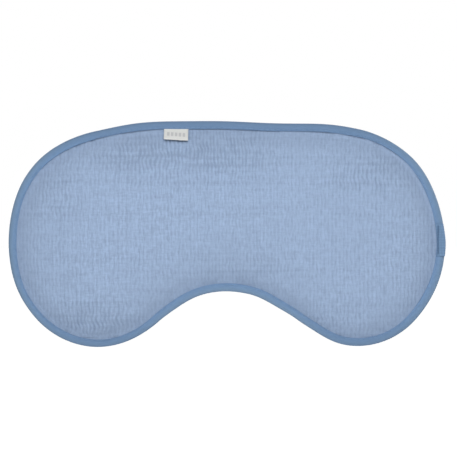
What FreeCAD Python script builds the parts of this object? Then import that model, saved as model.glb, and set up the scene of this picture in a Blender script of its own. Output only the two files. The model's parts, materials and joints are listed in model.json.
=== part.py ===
"""Padded fabric sleep mask with a bound rim, a woven label and an adjustable elastic strap.

Millimetres. +Z is up and -Y is the front, as the mask is worn. x = 0 is the middle of the nose,
y = 0 is the plane of the back cover that meets the face, and z = 0 is the middle of the strap.
"""

import FreeCAD
import Part
import math
import os
from FreeCAD import Vector

os.makedirs("parts", exist_ok=True)

# ---------------------------------------------------------------- driving dimensions
# outline of the mask, measured from the strap's middle line
mask_width = 212.0
top_height = 58.0            # strap line up to the top edge
bottom_depth = 51.5          # strap line down to the two lobes
nose_notch_height = 26.5     # lobes up to the top of the nose notch
widest_drop = 1.5            # the mask is widest this far below the strap line
shoulder_radius = 45.0
shoulder_start = 39.0        # degrees of turn up from the widest level
shoulder_end = 81.0
lobe_radius = 40.0
lobe_start = 41.0            # degrees of turn down from the widest level

# pad
crown_front = 3.9            # front cover's rise out of the binding
crown_back = 2.5             # back cover's rise out of the binding
rim_core = 2.0               # all four layers squeezed flat in the binding
flat_inset = 24.0            # the covers are flat from this far inside the rim
puff_steps = 6
cover_thickness = 0.8
lining_thickness = 0.3
cover_at_rim = 0.6
lining_at_rim = 0.2

# binding and its stitching
binding_width = 3.8
binding_thickness = 0.6
binding_round = 1.1
stitch_inset = 3.0
thread_width = 0.4
thread_rise = 0.2
thread_gap = 0.1             # between the stitching and what lies beside it

# label
label_width = 11.8
label_length = 5.2
label_thickness = 0.5
label_round = 0.22           # at the label's folded end
label_offset = -24.5         # middle of the label along X
label_gap = 0.2              # from the binding's edge down to the label
label_clearance = 0.25

# strap and tab elastic
strap_width = 16.0
strap_thickness = 1.2
layer_gap = 0.3              # between the strap and its doubled return
swing_back = 12.0            # swing axis behind the face plane
end_gap = 0.4                # between a sewn root and the swinging strap end
straight_end = 70.0          # where the straight stretches turn into the arch
arch_side_radius = 50.0
arch_side_turn = 60.0        # degrees
lap_thickness = 0.5          # the tab's outer layer, pressed flat where it laps the rim
lap_round = 0.4

# ring
ring_wire = 2.0
ring_front = 19.0            # ring's front bar behind the face plane
ring_reach = 6.0             # front bar to rear bar
ring_side_gap = 0.5
ring_corner = 1.6
eye_clearance = 0.1          # between a bar and the elastic round it

# slider
slider_rest = 46.0           # middle of the slider behind the face plane
slider_length = 12.0
slider_end_bar = 2.0
slider_plate = 1.6
slider_rail = 2.1
slider_side_gap = 0.4
slider_face_gap = 0.25
slider_bar = 1.8
slider_round = 0.5
strap_tail = 7.0             # strap end's folded tail, from the slider's bar

# bartacks
bartack_width = 0.8
bartack_rise = 0.2
bartack_margin = 1.0         # from each edge of the elastic

same_place = 1e-6            # how near counts as the same place
spare = 1.0                  # how far a cutting tool runs past what it cuts

# ---------------------------------------------------------------- worked-out values
rim_back = -crown_back                    # back face of the squeezed layers
rim_front = rim_back - rim_core
binding_back = rim_back + binding_thickness
binding_front = rim_front - binding_thickness
core_inset = binding_thickness

outer_face = mask_width / 2                # strap's outer face, flush with the mask's widest point
inner_face = outer_face - strap_thickness
strap_middle = outer_face - strap_thickness / 2
return_outer = inner_face - layer_gap
return_inner = return_outer - strap_thickness
tab_inner = outer_face - 2 * strap_thickness
half_strap = strap_width / 2
strap_front = swing_back - half_strap     # foremost point of the rounded, swinging ends
root_end = strap_front - end_gap
root_start = mask_width / 2 - stitch_inset + thread_gap
eye_radius = ring_wire / 2 + eye_clearance
eye_outer = eye_radius + strap_thickness
ring_x = outer_face - strap_thickness
ring_rear = ring_front + ring_reach
lap_back = binding_front - thread_rise    # the lap lies on the line of stitching
lap_front = lap_back - lap_thickness
lap_face = outer_face + lap_thickness
lap_start = outer_face - binding_width    # the lap ends level with the binding's inner edge
tack_reach = half_strap - bartack_margin


# ---------------------------------------------------------------- the mask's outline
def rad(degrees):
    return math.radians(degrees)


def outline_arcs():
    """The rim as ten tangent arcs, clockwise from the top: (x, z, radius, from, to, side).

    Angles are degrees in the XZ plane. side is 1 where the mask lies inside the arc, and -1 at the
    nose notch, where it lies outside. The widest, top and notch radii close the outline.
    """
    half = mask_width / 2
    widest = -widest_drop
    c1, s1 = math.cos(rad(shoulder_start)), math.sin(rad(shoulder_start))
    c2, s2 = math.cos(rad(shoulder_end)), math.sin(rad(shoulder_end))
    across = half - shoulder_radius * (c1 - c2)
    up = top_height - widest - shoulder_radius * (s2 - s1)
    spread = (1 - c1) * (1 - s2) - s1 * c2
    upper_radius = (across * (1 - s2) - up * c2) / spread
    top_radius = (up * (1 - c1) - across * s1) / spread

    c4, s4 = math.cos(rad(lobe_start)), math.sin(rad(lobe_start))
    lower_radius = (widest + bottom_depth - lobe_radius * (1 - s4)) / s4
    lobe_x = half - lower_radius + (lower_radius - lobe_radius) * c4
    lobe_z = lobe_radius - bottom_depth
    rise = 2 * math.atan2(nose_notch_height, lobe_x)
    notch_radius = lobe_x / math.sin(rise) - lobe_radius
    notch_z = nose_notch_height - bottom_depth - notch_radius
    tilt = math.degrees(rise)

    side_x = half - upper_radius
    shoulder_x = side_x + (upper_radius - shoulder_radius) * c1
    shoulder_z = widest + (upper_radius - shoulder_radius) * s1
    top_z = top_height - top_radius
    low_x = half - lower_radius
    return [
        (0, top_z, top_radius, 180 - shoulder_end, shoulder_end, 1),
        (shoulder_x, shoulder_z, shoulder_radius, shoulder_end, shoulder_start, 1),
        (side_x, widest, upper_radius, shoulder_start, 0, 1),
        (low_x, widest, lower_radius, 0, -lobe_start, 1),
        (lobe_x, lobe_z, lobe_radius, -lobe_start, -90 - tilt, 1),
        (0, notch_z, notch_radius, 90 - tilt, 90 + tilt, -1),
        (-lobe_x, lobe_z, lobe_radius, tilt - 90, lobe_start - 180, 1),
        (-low_x, widest, lower_radius, lobe_start - 180, -180, 1),
        (-side_x, widest, upper_radius, 180, 180 - shoulder_start, 1),
        (-shoulder_x, shoulder_z, shoulder_radius, 180 - shoulder_start, 180 - shoulder_end, 1),
    ]


ARCS = outline_arcs()


def rim_point(arc, inset, y, degrees):
    x, z, radius, _, _, side = arc
    reach = radius - side * inset
    return Vector(x + reach * math.cos(rad(degrees)), y, z + reach * math.sin(rad(degrees)))


def rim_edges(inset, y):
    """The outline's edges, moved in from the rim by inset, at depth y."""
    edges = []
    for arc in ARCS:
        start, end = arc[3], arc[4]
        points = [rim_point(arc, inset, y, a) for a in (start, (start + end) / 2, end)]
        edges.append(Part.Arc(*points).toShape())
    return edges


def rim_strip(level_a, level_b):
    """Faces all round the rim between two levels, each (inset, y)."""
    pairs = zip(rim_edges(*level_a), rim_edges(*level_b))
    return [Part.makeRuledSurface(a, b) for a, b in pairs]


def rim_solid(levels, closed):
    """A solid whose section steps through levels. It is a ring if closed, else capped at both ends."""
    faces = []
    for level_a, level_b in zip(levels, levels[1:] + levels[:1] * closed):
        faces += rim_strip(level_a, level_b)
    if not closed:
        faces += [Part.Face(Part.Wire(rim_edges(*levels[i]))) for i in (0, -1)]
    shell = Part.makeShell(faces)
    shell.sewShape()
    solid = Part.makeSolid(shell)
    if solid.Volume < 0:
        solid.reverse()
    return solid


def top_edge(x, inset):
    """Height of the top edge at x, moved in by inset."""
    _, z, radius, _, _, _ = ARCS[0]
    return z + math.sqrt((radius - inset) ** 2 - x**2)


# ---------------------------------------------------------------- the pad's layers
def puff(rim, crown):
    """Levels of a surface that leaves the binding at y = rim and ends flat at y = crown."""
    span = flat_inset - binding_width
    levels = [(core_inset, rim), (binding_width, rim)]
    for k in range(1, puff_steps + 1):
        share = k / puff_steps
        rise = math.sin(rad(90 * share))
        levels.append((binding_width + span * share, rim + (crown - rim) * rise))
    return levels


def make_layers():
    """The four layers, front to back, face to face with each other."""
    flats = [rim_front - crown_front]
    flats.append(flats[0] + cover_thickness)
    flats.append(flats[1] + lining_thickness)
    flats += [-cover_thickness, 0]
    rims = [rim_front, rim_front + cover_at_rim, rim_front + cover_at_rim + lining_at_rim]
    rims += [rim_back - cover_at_rim, rim_back]
    surfaces = [puff(rim, flat) for rim, flat in zip(rims, flats)]
    names = ["front_cover", "blackout_lining", "wadding", "back_cover"]
    layers = {}
    for name, front, back in zip(names, surfaces, surfaces[1:]):
        layers[name] = rim_solid(front[::-1] + back, closed=False)
    return layers


# ---------------------------------------------------------------- binding, stitching and label
def make_binding():
    """Bias tape folded over the rim: two flat legs and a rounded fold."""
    fold = binding_round * (1 - math.cos(rad(45)))
    section = [
        (binding_width, rim_front),
        (binding_width, binding_front),
        (binding_round, binding_front),
        (fold, binding_front + fold),
        (0, binding_front + binding_round),
        (0, binding_back - binding_round),
        (fold, binding_back - fold),
        (binding_round, binding_back),
        (binding_width, binding_back),
        (binding_width, rim_back),
        (core_inset, rim_back),
        (core_inset, rim_front),
    ]
    return rim_solid(section, closed=True)


def make_stitching(face, away):
    """A line of thread all round, standing on the binding's face."""
    top = face + away * thread_rise
    near, far = stitch_inset, stitch_inset + thread_width
    return rim_solid([(near, face), (near, top), (far, top), (far, face)], closed=True)


def label_hinge():
    """A point on the line that the label bends about, and its lean off the vertical."""
    z = top_edge(label_offset, binding_width)
    y = binding_front - label_thickness / 2 - label_clearance
    low_inset = binding_width + label_gap + label_length
    share = (low_inset - binding_width) / (flat_inset - binding_width)
    cover = rim_front - crown_front * math.sin(rad(90 * min(share, 1)))
    out = y - (cover - label_thickness / 2 - label_clearance)
    return Vector(label_offset, y, z), math.degrees(math.atan2(max(out, 0), label_length))


def make_label():
    hinge, lean = label_hinge()
    corner = Vector(-label_width / 2, -label_thickness / 2, -label_gap - label_length)
    label = Part.makeBox(label_width, label_thickness, label_length, corner)
    low = [e for e in label.Edges if abs(e.CenterOfMass.z - corner.z) < same_place]
    fold = [e for e in low if abs(e.Length - label_width) < same_place]
    label = label.makeFillet(label_round, fold)
    label.rotate(Vector(0, 0, 0), Vector(1, 0, 0), -lean)
    label.translate(hinge)
    return label


# ---------------------------------------------------------------- elastic
def block(x0, x1, y0, y1, z0, z1):
    return Part.makeBox(x1 - x0, y1 - y0, z1 - z0, Vector(x0, y0, z0))


def band(x0, x1, y0, y1):
    """A straight flat stretch of elastic, as tall as the strap."""
    return block(x0, x1, y0, y1, -half_strap, half_strap)


def post(x, y, radius, half_height):
    return Part.makeCylinder(radius, 2 * half_height, Vector(x, y, -half_height))


def eye(x, y, radius):
    """Elastic turned round a bar of the given clear radius."""
    return post(x, y, radius + strap_thickness, half_strap).cut(post(x, y, radius, half_strap))


def round_front_end(shape, x0, x1):
    """Rounds the end in front of the swing axis, so that it turns within its own outline."""
    x0, x1, high = x0 - spare, x1 + spare, half_strap + spare
    ahead = block(x0, x1, strap_front - spare, swing_back, -high, high)
    disc = Part.makeCylinder(half_strap, x1 - x0, Vector(x0, swing_back, 0), Vector(1, 0, 0))
    return shape.cut(ahead.cut(disc))


def make_strap_root():
    """The strap's sewn left end: it lies on the binding's back leg, turns round and runs back."""
    face_y = binding_back
    turn_y = face_y + strap_thickness
    corner = Part.makeCylinder(strap_thickness, strap_width, Vector(inner_face, turn_y, -half_strap))
    corner = corner.common(band(inner_face, outer_face, face_y, turn_y))
    lying = band(root_start, inner_face, face_y, turn_y)
    rising = band(inner_face, outer_face, turn_y, root_end)
    root = lying.fuse([corner, rising]).removeSplitter()
    return root.mirror(Vector(0, 0, 0), Vector(1, 0, 0))


def make_tab_root():
    """The tab's sewn ends clasp the rim: the inner layer lies behind it, the outer one laps its front."""
    turn_y = binding_back + strap_thickness
    lying = band(root_start, outer_face, binding_back, turn_y)
    rising = band(tab_inner, outer_face, turn_y, root_end)
    edge = band(outer_face, lap_face, lap_front, turn_y)
    lap = band(lap_start, lap_face, lap_front, lap_back)
    root = lying.fuse([rising, edge, lap]).removeSplitter()
    ends = (lap_front, turn_y)
    corners = [e for e in root.Edges if any(is_upright(e, lap_face, y) for y in ends)]
    return root.makeFillet(lap_round, corners)


def is_upright(edge, x, y):
    """True for the vertical edge that stands at x, y."""
    middle = edge.CenterOfMass
    return abs(middle.x - x) < same_place and abs(middle.y - y) < same_place


def make_left_bartack():
    """A dense row of thread that holds the strap's root down on the binding's back leg."""
    start = root_start + thread_gap
    face_y = binding_back + strap_thickness
    tack = block(start, start + bartack_width, face_y, face_y + bartack_rise, -tack_reach, tack_reach)
    return tack.mirror(Vector(0, 0, 0), Vector(1, 0, 0))


def make_right_bartack():
    """A dense row of thread along the lap's free edge, sewn through the rim."""
    start = lap_start + thread_gap
    return block(start, start + bartack_width, lap_front - bartack_rise, lap_front, -tack_reach, tack_reach)


def make_ring_tab():
    """The tab's free length: two layers sewn together, round the ring's front bar."""
    tab = band(tab_inner, outer_face, strap_front, ring_front)
    tab = tab.cut(post(ring_x, ring_front, eye_outer, half_strap))
    tab = tab.fuse(eye(ring_x, ring_front, eye_radius)).removeSplitter()
    return round_front_end(tab, tab_inner, outer_face)


def make_tab_stitch():
    """Thread across the tab, close to the ring, on both faces."""
    y = ring_front - eye_outer - bartack_width
    faces = [(outer_face, outer_face + bartack_rise), (tab_inner - bartack_rise, tab_inner)]
    y0, y1 = y - bartack_width / 2, y + bartack_width / 2
    rows = [block(x0, x1, y0, y1, -tack_reach, tack_reach) for x0, x1 in faces]
    return Part.makeCompound(rows)


def arch_points(x):
    """The strap's line behind the head, for the line that runs back at x: start, joins and middle."""
    side_radius = arch_side_radius + x - strap_middle
    turn = rad(arch_side_turn)
    centre_x = x - side_radius
    back_radius = centre_x / math.cos(turn) + side_radius
    back_y = straight_end - (back_radius - side_radius) * math.sin(turn)

    def side_at(angle):
        spun = Vector(math.cos(angle), math.sin(angle), 0) * side_radius
        return Vector(centre_x, straight_end, 0) + spun

    return side_at(0), side_at(turn / 2), side_at(turn), Vector(0, back_y + back_radius, 0)


def arch_edges(x):
    """Edges of the arch from +x round the back to -x."""
    start, bend, join, back = arch_points(x)

    def mirrored(point):
        return Vector(-point.x, point.y, point.z)

    right, rear = (start, bend, join), (join, back, mirrored(join))
    left = (mirrored(join), mirrored(bend), mirrored(start))
    return [Part.Arc(*run).toShape() for run in (right, rear, left)]


def make_strap():
    """The long elastic, from the ring's rear bar round the back of the head to the left end."""
    outer, inner = arch_edges(outer_face), arch_edges(inner_face)
    ends = [
        Part.makeLine(Vector(-outer_face, straight_end, 0), Vector(-inner_face, straight_end, 0)),
        Part.makeLine(Vector(inner_face, straight_end, 0), Vector(outer_face, straight_end, 0)),
    ]
    wire = Part.Wire(Part.__sortEdges__(outer + inner + ends))
    arch = Part.Face(wire).extrude(Vector(0, 0, strap_width))
    arch.translate(Vector(0, 0, -half_strap))
    left = band(-outer_face, -inner_face, strap_front, straight_end)
    left = round_front_end(left, -outer_face, -inner_face)
    right = band(inner_face, outer_face, ring_rear, straight_end)
    right = right.cut(post(ring_x, ring_rear, eye_outer, half_strap))
    return arch.fuse([left, right, eye(ring_x, ring_rear, eye_radius)]).removeSplitter()


def make_strap_return():
    """The doubled layer between the ring and the slider. It changes length as the slider moves."""
    start = ring_rear + eye_outer
    return band(return_inner, return_outer, start, slider_rest - strap_tail)


# ---------------------------------------------------------------- ring and slider
def make_ring():
    """A rectangular wire ring with rounded corners, long side upright."""
    high = half_strap + ring_side_gap + ring_wire / 2
    y0, y1 = ring_front, ring_rear
    corners = [(y0, -high), (y1, -high), (y1, high), (y0, high)]
    points = [Vector(ring_x, y, z) for y, z in corners]
    edges = []
    bend = ring_corner
    for before, here, after in zip(points[-1:] + points[:-1], points, points[1:] + points[:1]):
        arrive = here + (before - here).normalize() * bend
        leave = here + (after - here).normalize() * bend
        centre = arrive + leave - here
        middle = centre + (here - centre).normalize() * bend
        edges.append(Part.Arc(arrive, middle, leave).toShape())
        far = after + (here - after).normalize() * bend
        edges.append(Part.makeLine(leave, far))
    path = Part.Wire(edges)
    start = edges[0].Vertexes[0].Point
    ahead = edges[0].tangentAt(edges[0].FirstParameter)
    section = Part.Wire(Part.makeCircle(ring_wire / 2, start, ahead))
    return path.makePipeShell([section], True, True)


def slider_bar_x():
    """Middle of the slider's centre bar, inside the strap and its doubled end."""
    return return_outer - strap_thickness - eye_clearance - slider_bar / 2


def make_slider():
    """Three-bar adjuster: two end bars outside the strap, one bar inside it, and two side rails."""
    bar_x = slider_bar_x()
    face_x = outer_face + slider_face_gap
    back_x = face_x + slider_plate
    inside = half_strap + slider_side_gap
    high = inside + slider_rail
    y0, y1 = slider_rest - slider_length / 2, slider_rest + slider_length / 2
    frame = block(bar_x - slider_bar / 2, back_x, y0, y1, -high, high)
    channel = block(bar_x - slider_bar, face_x, y0 - spare, y1 + spare, -inside, inside)
    open0, open1 = y0 + slider_end_bar, y1 - slider_end_bar
    window = block(face_x - spare, back_x + spare, open0, open1, -inside, inside)
    frame = frame.cut(channel).cut(window)
    sides = [e for e in frame.Edges if abs(abs(e.CenterOfMass.z) - high) < same_place]
    frame = frame.makeFillet(slider_round, sides)
    return frame.fuse(post(bar_x, slider_rest, slider_bar / 2, inside)).removeSplitter()


def make_strap_end_loop():
    """The strap's own end: round the slider's bar and sewn back on itself."""
    bar_x = slider_bar_x()
    clear = slider_bar / 2 + eye_clearance
    tail = band(return_outer - 2 * strap_thickness, return_outer, slider_rest - strap_tail, slider_rest)
    tail = tail.cut(post(bar_x, slider_rest, clear + strap_thickness, half_strap))
    return tail.fuse(eye(bar_x, slider_rest, clear)).removeSplitter()


def make_strap_end_stitch():
    """Thread across the folded tail, on its inner face."""
    x = return_outer - 2 * strap_thickness
    y = slider_rest - strap_tail + bartack_margin
    return block(x - bartack_rise, x, y, y + bartack_width, -tack_reach, tack_reach)


# ---------------------------------------------------------------- all the parts
def make_parts():
    parts = make_layers()
    parts["edge_binding"] = make_binding()
    parts["binding_stitch_front"] = make_stitching(binding_front, -1)
    parts["binding_stitch_back"] = make_stitching(binding_back, 1)
    parts["woven_label"] = make_label()
    parts["strap_root_left"] = make_strap_root()
    parts["tab_root_right"] = make_tab_root()
    parts["bartack_left"] = make_left_bartack()
    parts["bartack_right"] = make_right_bartack()
    parts["ring_tab"] = make_ring_tab()
    parts["tab_stitch"] = make_tab_stitch()
    parts["ring"] = make_ring()
    parts["strap"] = make_strap()
    parts["strap_return"] = make_strap_return()
    parts["strap_end_loop"] = make_strap_end_loop()
    parts["strap_end_stitch"] = make_strap_end_stitch()
    parts["slider"] = make_slider()
    return parts


def main():
    for name, shape in make_parts().items():
        box = shape.BoundBox
        print(f"{name:22s} valid {shape.isValid()} solids {len(shape.Solids)} volume {shape.Volume:9.1f}"
              f"  x {box.XMin:7.1f} {box.XMax:6.1f}  y {box.YMin:5.1f} {box.YMax:6.1f}"
              f"  z {box.ZMin:6.1f} {box.ZMax:5.1f}")
        shape.exportStep(f"parts/{name}.step")
    hinge, lean = label_hinge()
    print("label hinge", [round(v, 3) for v in hinge], "lean", round(lean, 2))


main()
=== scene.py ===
"""Looks of the padded sleep mask: crinkled double-gauze covers, bias binding, label and elastic strap.

Lengths are millimetres until a mesh is made. +Z is up and -Y is the mask's front.
"""

import json
import math

import bmesh
import bpy
import numpy as np
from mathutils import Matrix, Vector, geometry
from mathutils.kdtree import KDTree


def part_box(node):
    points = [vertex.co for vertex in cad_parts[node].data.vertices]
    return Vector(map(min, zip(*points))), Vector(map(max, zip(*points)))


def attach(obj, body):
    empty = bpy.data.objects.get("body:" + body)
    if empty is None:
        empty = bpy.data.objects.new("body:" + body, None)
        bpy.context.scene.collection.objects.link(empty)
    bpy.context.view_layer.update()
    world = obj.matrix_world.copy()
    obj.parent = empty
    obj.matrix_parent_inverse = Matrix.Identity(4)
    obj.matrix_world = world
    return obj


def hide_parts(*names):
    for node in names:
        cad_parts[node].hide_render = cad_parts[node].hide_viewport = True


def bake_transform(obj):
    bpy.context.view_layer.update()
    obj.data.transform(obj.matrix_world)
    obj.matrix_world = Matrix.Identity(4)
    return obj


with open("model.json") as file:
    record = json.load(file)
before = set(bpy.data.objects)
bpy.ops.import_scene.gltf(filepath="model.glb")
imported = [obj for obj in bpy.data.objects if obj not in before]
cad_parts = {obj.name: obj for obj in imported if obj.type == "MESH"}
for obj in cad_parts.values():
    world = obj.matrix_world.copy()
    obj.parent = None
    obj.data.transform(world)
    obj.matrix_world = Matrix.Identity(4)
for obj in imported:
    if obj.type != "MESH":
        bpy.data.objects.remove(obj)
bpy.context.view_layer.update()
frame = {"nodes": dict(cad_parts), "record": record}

MM = 0.001
NOISE_CELLS = 257  # noise repeats after this many features
NOISE_SPREAD = 0.479  # spread of B-spline noise made from unit random numbers


# ---------- sizes read from the frame
def box_mm(node):
    low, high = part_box(node)
    return np.array(low) / MM, np.array(high) / MM


def joint_place(name):
    """The joint's place in millimetres."""
    joints = frame["record"]["behaviour"]["joints"]
    return np.array(next(j for j in joints if j["name"] == name)["pos_m"]) / MM


rim_low, rim_high = box_mm("edge_binding")
pad_low, _ = box_mm("front_cover")
_, back_high = box_mm("back_cover")
strap_low, strap_high = box_mm("strap")
label_low, label_high = box_mm("woven_label")
return_low, return_high = box_mm("strap_return")
ring_low, ring_high = box_mm("ring")
slider_low, slider_high = box_mm("slider")
lap_low, lap_high = box_mm("tab_root_right")
_, root_high = box_mm("strap_root_left")

HALF_WIDTH = rim_high[0]
TOP = rim_high[2]
BOTTOM = rim_low[2]
RIM_FRONT, RIM_BACK = rim_low[1], rim_high[1]
CROWN_FRONT, CROWN_BACK = pad_low[1], back_high[1]

# the outline's shape, as in the CAD model
NOTCH_HEIGHT = 26.5
WIDEST = -1.5
SHOULDER_RADIUS, SHOULDER_START, SHOULDER_END = 45.0, 39.0, 81.0
LOBE_RADIUS, LOBE_START = 40.0, 41.0

# pad and binding
TAPE = 0.6  # thickness of the binding's tape
TAPE_WIDTH = 3.8
STEEP_REACH = 15.0  # the pad swells fast over this distance from the binding
GENTLE_REACH = 46.0  # and slowly over this
GENTLE_SHARE = 0.42
COVER_FRONT = RIM_FRONT + TAPE
COVER_BACK = RIM_BACK - TAPE
TUCK = 2.4  # the covers end this far inside the rim, under the tape

# elastic
STRAP_HALF = strap_high[2]
ELASTIC = 1.2
OUTER_FACE = -strap_low[0]
STRAP_MIDDLE = OUTER_FACE - ELASTIC / 2
RETURN_MIDDLE = (return_low[0] + return_high[0]) / 2
STRAIGHT_END = 70.0
ARCH_SIDE_RADIUS, ARCH_SIDE_TURN = 50.0, 60.0
RING_WIRE = 2.0
SLIDER_BAR_HALF = 0.9
EYE_CLEARANCE = 0.1  # between a bar and the elastic round it
EYE_MIDDLE = RING_WIRE / 2 + EYE_CLEARANCE + ELASTIC / 2
BAR_EYE_MIDDLE = SLIDER_BAR_HALF + EYE_CLEARANCE + ELASTIC / 2
LAP = 0.5  # thickness of the tab's layer that laps the rim
RING_FRONT = ring_low[1] + RING_WIRE / 2
RING_REAR = ring_high[1] - RING_WIRE / 2
RING_X = (ring_low[0] + ring_high[0]) / 2
SLIDER_MIDDLE = (slider_low[1] + slider_high[1]) / 2
SLIDER_BAR_X = slider_low[0] + SLIDER_BAR_HALF
HINGE = joint_place("label_flap")


# ---------- meshes
def make_piece(name, points, faces, material, uvs=None):
    """A mesh object from points in millimetres. uvs holds one pair for each point."""
    mesh = bpy.data.meshes.new(name)
    mesh.from_pydata((np.asarray(points, float) * MM).tolist(), [], [list(f) for f in faces])
    if uvs is not None:
        layer = mesh.uv_layers.new(name="UVMap")
        corners = np.empty(len(mesh.loops), np.int32)
        mesh.loops.foreach_get("vertex_index", corners)
        layer.data.foreach_set("uv", np.asarray(uvs, np.float32)[corners].ravel())
    mesh.polygons.foreach_set("use_smooth", [True] * len(mesh.polygons))
    mesh.update()
    piece = bpy.data.objects.new(name, mesh)
    bpy.context.scene.collection.objects.link(piece)
    if material is not None:
        mesh.materials.append(material)
    return piece


def read_points(mesh):
    flat = np.empty(len(mesh.vertices) * 3)
    mesh.vertices.foreach_get("co", flat)
    return flat.reshape(-1, 3)


def write_points(mesh, points):
    mesh.vertices.foreach_set("co", np.asarray(points, float).ravel())
    mesh.update()


def store(mesh, name, values):
    """Keeps one number for each point, for the material to read."""
    mesh.attributes.new(name, "FLOAT", "POINT").data.foreach_set("value", np.asarray(values, np.float32))


def tube_faces(rings, around, closed=False):
    """Quads between rings of points. A closed tube's last ring joins its first."""
    faces = []
    last = rings if closed else rings - 1
    for i in range(last):
        a, b = i * around, (i + 1) % rings * around
        for j in range(around):
            k = (j + 1) % around
            faces.append((a + j, a + k, b + k, b + j))
    return faces


def capped_tube_faces(rings, around):
    """The faces of a tube between rings of points, with one flat face at each end."""
    first, last = range(around), range((rings - 1) * around, rings * around)
    return tube_faces(rings, around) + [tuple(first)[::-1], tuple(last)]


def run_lengths(route):
    """The length run along a flat route so far, at each of its points."""
    return np.r_[0, np.cumsum(np.linalg.norm(np.diff(route, axis=0), axis=1))]


def route_normals(route):
    """The unit normal at each point of a flat route, on its right."""
    tangent = np.gradient(route, axis=0)
    tangent /= np.linalg.norm(tangent, axis=1)[:, None]
    return np.c_[tangent[:, 1], -tangent[:, 0]]


def arc_points(x, y, radius, angles):
    return [(x + radius * math.cos(a), y + radius * math.sin(a)) for a in angles]


def smoothstep(value, start, end):
    """Rises smoothly from 0 at start to 1 at end."""
    t = np.clip((np.asarray(value, float) - start) / (end - start), 0, 1)
    return t * t * (3 - 2 * t)


def noise_at(x, z, seed, x_size, z_size):
    """Smooth waves of about unit strength, with features of the given sizes."""
    table = np.random.default_rng(seed).standard_normal((NOISE_CELLS, NOISE_CELLS))
    u, v = np.asarray(x, float) / x_size, np.asarray(z, float) / z_size
    i, j = np.floor(u).astype(int), np.floor(v).astype(int)
    total = 0.0
    for a, weight_a in enumerate(spline_weights(u - i)):
        for b, weight_b in enumerate(spline_weights(v - j)):
            total = total + weight_a * weight_b * table[(i + a) % NOISE_CELLS, (j + b) % NOISE_CELLS]
    return total / NOISE_SPREAD


def spline_weights(t):
    """Cubic B-spline weights of the four neighbours at fraction t."""
    near, far = t**3, (1 - t)**3
    return far / 6, (3 * near - 6 * t**2 + 4) / 6, (3 * far - 6 * (1 - t)**2 + 4) / 6, near / 6


# ---------- the outline
def outline_arcs():
    """The rim as ten tangent arcs, clockwise from the top: (x, z, radius, from, to, side)."""
    turns = [math.radians(a) for a in (SHOULDER_START, SHOULDER_END, LOBE_START)]
    (c1, s1), (c2, s2), (c3, s3) = [(math.cos(a), math.sin(a)) for a in turns]
    across = HALF_WIDTH - SHOULDER_RADIUS * (c1 - c2)
    up = TOP - WIDEST - SHOULDER_RADIUS * (s2 - s1)
    spread = (1 - c1) * (1 - s2) - s1 * c2
    upper = (across * (1 - s2) - up * c2) / spread
    top = (up * (1 - c1) - across * s1) / spread
    lower = (WIDEST - BOTTOM - LOBE_RADIUS * (1 - s3)) / s3
    lobe_x = HALF_WIDTH - lower + (lower - LOBE_RADIUS) * c3
    rise = 2 * math.atan2(NOTCH_HEIGHT, lobe_x)
    notch = lobe_x / math.sin(rise) - LOBE_RADIUS
    tilt = math.degrees(rise)
    shoulder_x = HALF_WIDTH - upper + (upper - SHOULDER_RADIUS) * c1
    shoulder_z = WIDEST + (upper - SHOULDER_RADIUS) * s1
    right = [
        (shoulder_x, shoulder_z, SHOULDER_RADIUS, SHOULDER_END, SHOULDER_START, 1),
        (HALF_WIDTH - upper, WIDEST, upper, SHOULDER_START, 0, 1),
        (HALF_WIDTH - lower, WIDEST, lower, 0, -LOBE_START, 1),
        (lobe_x, BOTTOM + LOBE_RADIUS, LOBE_RADIUS, -LOBE_START, -90 - tilt, 1),
    ]
    left = [(-x, z, r, 180 - b, 180 - a, side) for x, z, r, a, b, side in reversed(right)]
    crown = (0, TOP - top, top, 180 - SHOULDER_END, SHOULDER_END, 1)
    nose = (0, BOTTOM + NOTCH_HEIGHT - notch, notch, 90 - tilt, 90 + tilt, -1)
    return [crown] + right + [nose] + left


def outline(step):
    """Points round the rim about step apart, their outward normals, and the length run so far."""
    places, normals = [], []
    for x, z, radius, start, end, side in outline_arcs():
        count = max(2, round(abs(math.radians(end - start)) * radius / step))
        angles = np.radians(start + (end - start) * np.arange(count) / count)
        ray = np.c_[np.cos(angles), np.sin(angles)]
        places.append(np.array([x, z]) + radius * ray)
        normals.append(side * ray)
    places, normals = np.vstack(places), np.vstack(normals)
    runs = np.linalg.norm(np.roll(places, -1, 0) - places, axis=1)
    return places, normals, np.r_[0, np.cumsum(runs)[:-1]]


# how the sewn rim wanders off its pattern: (x, z, push along x, push along z, reach)
RIM_WANDER = [
    (53, 55, 0.35, 1.35, 14),
    (21, 58, 0.0, -0.65, 14),
    (-42, 57, 0.0, 1.2, 14),
    (-72, 50, 0.3, -0.45, 12),
    (-98, 31, -1.0, 0.35, 14),
    (94, 35, 0.5, 0.4, 10),
    (103, -16, 0.35, -0.1, 14),
    (78, -47, 0.25, -0.35, 14),
    (42, -43, 0.9, 1.7, 9),
    (25, -32, -0.35, -0.65, 7),
    (-26, -34, 0.65, -0.9, 8),
    (-66, -51, 0.2, -0.55, 13),
    (-92, -38, -0.4, -0.3, 18),
    (-101, -24, -0.35, 0.0, 9),
]


def wander(points):
    """Moves points of the mask as the sewn rim wanders."""
    moved = np.array(points, float)
    for x, z, push_x, push_z, reach in RIM_WANDER:
        far = (moved[:, 0] - x) ** 2 + (moved[:, 2] - z) ** 2
        share = np.exp(-far / (2 * reach**2))
        moved[:, 0] += push_x * share
        moved[:, 2] += push_z * share
    return moved


RIM_POINTS, RIM_NORMALS, _ = outline(1.0)
RIM_TREE = KDTree(len(RIM_POINTS))
for i, (rim_x, rim_z) in enumerate(RIM_POINTS):
    RIM_TREE.insert((rim_x, rim_z, 0), i)
RIM_TREE.balance()


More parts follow.
